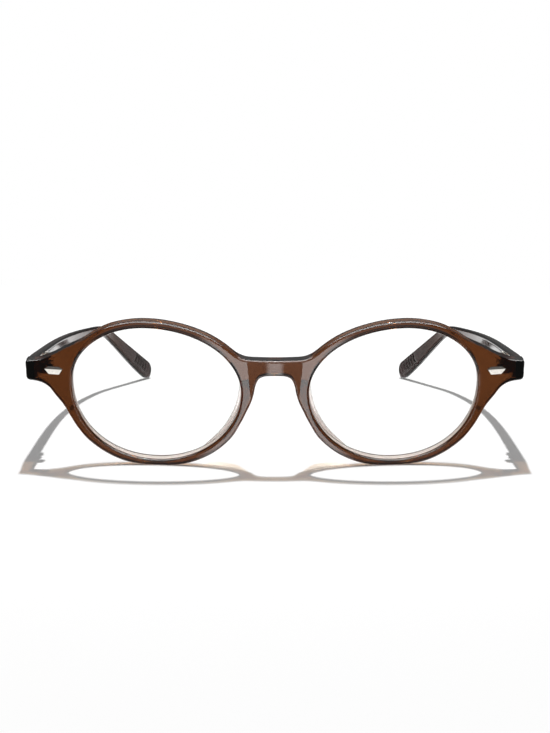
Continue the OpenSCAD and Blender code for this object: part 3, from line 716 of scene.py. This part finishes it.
def temple_ring(s):
    """One cross-section of the left temple."""
    yaw, pitch = heading(s)
    across = Vector((math.cos(yaw), math.sin(yaw), 0))
    up = across.cross(along(yaw, pitch))
    slim = smooth((s - STRAIGHT) / (BEND_START - SLIM_BY - STRAIGHT))
    blade = smooth((s - BEND_START - TIP_FROM) / (TEMPLE_LEN - TIP_FULL - BEND_START - TIP_FROM))
    h = TEMPLE_H + (EAR_H - TEMPLE_H) * slim
    h += (TIP_H - h) * blade
    t = TEMPLE_T + (TIP_T - TEMPLE_T) * smooth((s - STRAIGHT) / (TEMPLE_LEN - STRAIGHT))
    past = max(0, s - TEMPLE_LEN + TIP_ROUND) / TIP_ROUND
    k = math.sqrt(max(0.0004, 1 - past**2))
    i = min(len(path) - 2, int(s))
    at = path[i].lerp(path[i + 1], s - i) - across * t / 2 - up * h / 2 * (1 + TIP_SINK * (1 - k))
    t *= TIP_THIN + (1 - TIP_THIN) * k
    h *= k

    def dent(v):
        """How deep the tip's grooves are at a height on the inner face."""
        deep = 0
        for i in range(GROOVES):
            middle = TEMPLE_LEN - GROOVE_END - GROOVE_PITCH * i - GROOVE_BULGE * (2 * v / TIP_H) ** 2
            deep += GROOVE_DEEP * math.exp(-(((s - middle) / GROOVE_WIDE) ** 2))
        return deep * smooth((GROOVE_REACH * h - abs(v)) / (GROOVE_FADE * h + 0.01))

    return bar_ring(at, across, up, t, h, min(TEMPLE_R, h * 0.4, t * 0.4), BAR_ROWS, dent)


tip_steps = math.ceil((TEMPLE_LEN - TIP_ROUND - TIP_STEPS_FROM) / TIP_STEP)
lengths = [HINGE_GAP / 2] + [BAR_STEP * k for k in range(2, round(TIP_STEPS_FROM / BAR_STEP))]
lengths += [TIP_STEPS_FROM + TIP_STEP * k for k in range(tip_steps)]
lengths += [TEMPLE_LEN - TIP_ROUND * (1 - math.sin(math.radians(k))) for k in range(0, 89, 2)]
temple_rings = [temple_ring(s) for s in lengths]
RIVET_R, RIVET_AT, RIVET_GAP = 0.6, 3.6, 3.6
# Polished smoke plastic is greyer and lets less light through. Towards the tips its skin is painted darker,
# as painted shade.
smoke = clear_plastic(
    "polished_smoke_plastic",
    tint="#7a655c",
    depth_tint="#6c5950",
    density=((0.5, 0.42, 0.4, 1), 800),
    roughness=0.07,
    shadow="#4a4644",
    # painted shade: the skin darkens to this tint towards the temple tips
    painted_tip_shade=(0.046, 0.06, "#57494a"),
)
for hand, side in (("left", 1), ("right", -1)):
    temple = skin(f"{hand}_temple_moulding", temple_rings, matrix=JOINT)
    drills = []
    for i in (0, 1):
        bpy.ops.mesh.primitive_cylinder_add(
            vertices=32, radius=(RIVET_R + PIN_FIT) * MM, depth=3 * TEMPLE_T * MM
        )
        drill = bpy.context.object
        drill.data.transform(Matrix.Rotation(math.pi / 2, 4, "Y"))
        drill.data.transform(Matrix.Translation(JOINT @ Vector((INNER_X, RIVET_AT + i * RIVET_GAP, 0))))
        drills.append(drill)
    boolean(temple, drills, "DIFFERENCE")
    if side < 0:
        mirror_across(temple)
    temple.data.materials.append(smoke)
    finish_shape(temple, f"{hand}_temple")

# The lenses are clear acrylic, cut with a V edge that snaps into the rim's groove. The two faces are
# coated, so that they mirror little, and the ground edge is matt white.
LENS_FRONT_R, LENS_BACK_R, LENS_T, LENS_SET, LENS_FIT = 125.0, 200.0, 2.4, 0.3, 0.05
LENS_ROWS = 14


def dome(p, radius, depth):
    """The point over p on a lens's spherical surface, whose middle lies at a depth."""
    u = p.x - LENS_MIDDLE.x + radius * math.sin(WRAP)
    w = p.y - LENS_MIDDLE.y
    y = depth + radius * math.cos(WRAP) - math.sqrt(radius**2 - u**2 - w**2)
    return Vector(
        (p.x, y * math.cos(LEAN) - p.y * math.sin(LEAN), p.y * math.cos(LEAN) + y * math.sin(LEAN))
    )


angles = [1.5 * k for k in range(240)]
edge = [rim(angle, -LENS_FIT) for angle in angles]
half_v = GROOVE_HALF - LENS_FIT
lens_rings = []
for k in range(LENS_ROWS + 1):
    lens_rings.append([dome(LENS_MIDDLE.lerp(p, k / LENS_ROWS), LENS_FRONT_R, LENS_SET) for p in edge])
lens_rings.append([place(p, FRONT_T / 2 - half_v) for p in edge])
lens_rings.append([place(rim(angle, GROOVE_D - 2 * LENS_FIT), FRONT_T / 2) for angle in angles])
lens_rings.append([place(p, FRONT_T / 2 + half_v) for p in edge])
for k in range(LENS_ROWS, -1, -1):
    row = [LENS_MIDDLE.lerp(p, k / LENS_ROWS) for p in edge]
    lens_rings.append([dome(p, LENS_BACK_R, LENS_SET + LENS_T) for p in row])

# Coated acrylic is clear, with a faint green mirror image that is strongest at a glancing angle, and
# smears of wiping every 8 mm or so. It mirrors GLANCE_LEAST head on.
SMEAR = 6 / (50 * MM)
GLANCE_LEAST, GLANCE_MORE, GLANCE_POWER = 0.008, 0.5, 4.0
lens_clear = bpy.data.materials.new("coated_clear_acrylic")
lens_clear.use_nodes = True
tree = lens_clear.node_tree
tree.nodes.clear()
through = add_node(tree, "ShaderNodeBsdfTransparent", {"Color": (0.995, 0.997, 0.995, 1)})
spot = add_node(tree, "ShaderNodeTexCoord").outputs["Object"]
smear = add_node(tree, "ShaderNodeTexNoise", {"Vector": spot, "Scale": SMEAR, "Detail": 2.0})
rough = ramp(tree, smear.outputs[0], 0.4, 0.7, 0.01, 0.03)
film = add_node(tree, "ShaderNodeBsdfGlossy", {"Color": (0.75, 0.95, 0.85, 1), "Roughness": rough})
facing = add_node(tree, "ShaderNodeLayerWeight", {"Blend": 0.5}).outputs["Facing"]
glance = product(tree, maths(tree, "POWER", facing, GLANCE_POWER), GLANCE_MORE)
glance = maths(tree, "ADD", GLANCE_LEAST, glance)
lamp = add_node(tree, "ShaderNodeLightPath").outputs["Is Shadow Ray"]
mirror = product(tree, glance, maths(tree, "SUBTRACT", 1.0, lamp))
surface = add_node(tree, "ShaderNodeMixShader", {0: mirror, 1: through.outputs[0], 2: film.outputs[0]})
add_node(tree, "ShaderNodeOutputMaterial", {"Surface": surface.outputs[0]})

# The ground edge is matt and nearly white, with a grit of three grains in a millimetre.
GRIT = 3 / MM
ground = bpy.data.materials.new("ground_lens_edge")
ground.use_nodes = True
tree = ground.node_tree
tree.nodes.clear()
spot = add_node(tree, "ShaderNodeTexCoord").outputs["Object"]
grit = add_node(tree, "ShaderNodeTexNoise", {"Vector": spot, "Scale": GRIT, "Detail": 2.0})
tone = add_node(
    tree,
    "ShaderNodeMix",
    {0: grit.outputs[0], 6: to_linear("#f4e9e4"), 7: to_linear("#e6d8d2")},
    data_type="RGBA",
)
matt = add_node(
    tree,
    "ShaderNodeBsdfPrincipled",
    {"Base Color": tone.outputs[2], "Roughness": 0.6, "IOR": PLASTIC_IOR},
)
add_node(tree, "ShaderNodeOutputMaterial", {"Surface": matt.outputs[0]})
for hand, side in (("left", 1), ("right", -1)):
    lens = skin(
        f"{hand}_lens_blank",
        lens_rings,
        capped=False,
        slot_of=lambda j: 1 if LENS_ROWS <= j <= LENS_ROWS + 3 else 0,
    )
    if side < 0:
        mirror_across(lens)
    lens.data.materials.append(lens_clear)
    lens.data.materials.append(ground)
    finish_shape(lens, f"{hand}_lens", angle=20)


# The nose pads are fins of clear, slightly milky plastic, glued behind the nose side of each rim.
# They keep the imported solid's shape, and so do the metal pieces below.
SOLID_MERGE, SOLID_FLAT = 0.002 * MM, math.radians(0.5)


def finished_copy(node, name, edge_angle):
    """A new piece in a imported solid's place: its triangles joined, and smooth up to edge_angle."""
    piece = bpy.data.objects.new(name, frame["nodes"][node].data.copy())
    bpy.context.scene.collection.objects.link(piece)
    bpy.ops.object.select_all(action="DESELECT")
    piece.select_set(True)
    bpy.context.view_layer.objects.active = piece
    bpy.ops.object.mode_set(mode="EDIT")
    bpy.ops.mesh.select_all(action="SELECT")
    bpy.ops.mesh.remove_doubles(threshold=SOLID_MERGE)
    bpy.ops.mesh.dissolve_limited(angle_limit=SOLID_FLAT)
    bpy.ops.mesh.normals_make_consistent(inside=False)
    bpy.ops.object.mode_set(mode="OBJECT")
    piece.data.materials.clear()
    finish_shape(piece, node, edge_angle)
    return piece


# Milky clear plastic blurs what lies behind it a little.
milky = clear_plastic(
    "milky_clear_plastic",
    tint="#e8ddd8",
    depth_tint="#dfd1cb",
    density=((0.95, 0.9, 0.88, 1), 300),
    roughness=0.2,
    shadow="#f3ece0",
)
for hand in ("left", "right"):
    pad = finished_copy(f"{hand}_nose_pad", f"{hand}_nose_pad_fin", edge_angle=60)
    pad.data.materials.append(milky)


# The plaques and screws are nickel silver, polished bright. The hinge leaves and the rivets that
# hold them are the same metal, stamped and tumbled, so they are duller.
TUMBLING = 4 / MM


def worn_metal(name, colour, shadow_colour, roughness):
    """Bare metal with fine tumbling marks, four in a millimetre."""
    material = bpy.data.materials.new(name)
    material.use_nodes = True
    tree = material.node_tree
    tree.nodes.clear()
    spot = add_node(tree, "ShaderNodeTexCoord").outputs["Object"]
    marks = add_node(tree, "ShaderNodeTexNoise", {"Vector": spot, "Scale": TUMBLING, "Detail": 2.0})
    tone = add_node(
        tree,
        "ShaderNodeMix",
        {0: marks.outputs[0], 6: to_linear(colour), 7: to_linear(shadow_colour)},
        data_type="RGBA",
    )
    rough = ramp(tree, marks.outputs[0], 0.3, 0.7, roughness * 0.6, roughness * 1.5)
    bare = add_node(
        tree,
        "ShaderNodeBsdfPrincipled",
        {"Base Color": tone.outputs[2], "Metallic": 1.0, "Roughness": rough},
    )
    add_node(tree, "ShaderNodeOutputMaterial", {"Surface": bare.outputs[0]})
    return material


bright = worn_metal("polished_nickel_silver", "#dedad4", "#c9c4bc", 0.12)
dull = worn_metal("tumbled_nickel_silver", "#cdc8bf", "#b4afa6", 0.45)
fasteners = (("hinge_screw", bright), ("temple_front_rivet", dull), ("temple_rear_rivet", dull))
for hand in ("left", "right"):
    for node, metal in fasteners:
        piece = finished_copy(f"{hand}_{node}", f"{hand}_{node}_metal", edge_angle=25)
        piece.data.materials.append(metal)
    piece = finished_copy(f"{hand}_plaque", f"{hand}_plaque_metal", edge_angle=8)
    piece.data.materials.append(bright)
    for node in (f"{hand}_front_leaf", f"{hand}_temple_leaf"):
        piece = finished_copy(node, f"{node}_metal", edge_angle=25)
        piece.data.materials.append(dull)
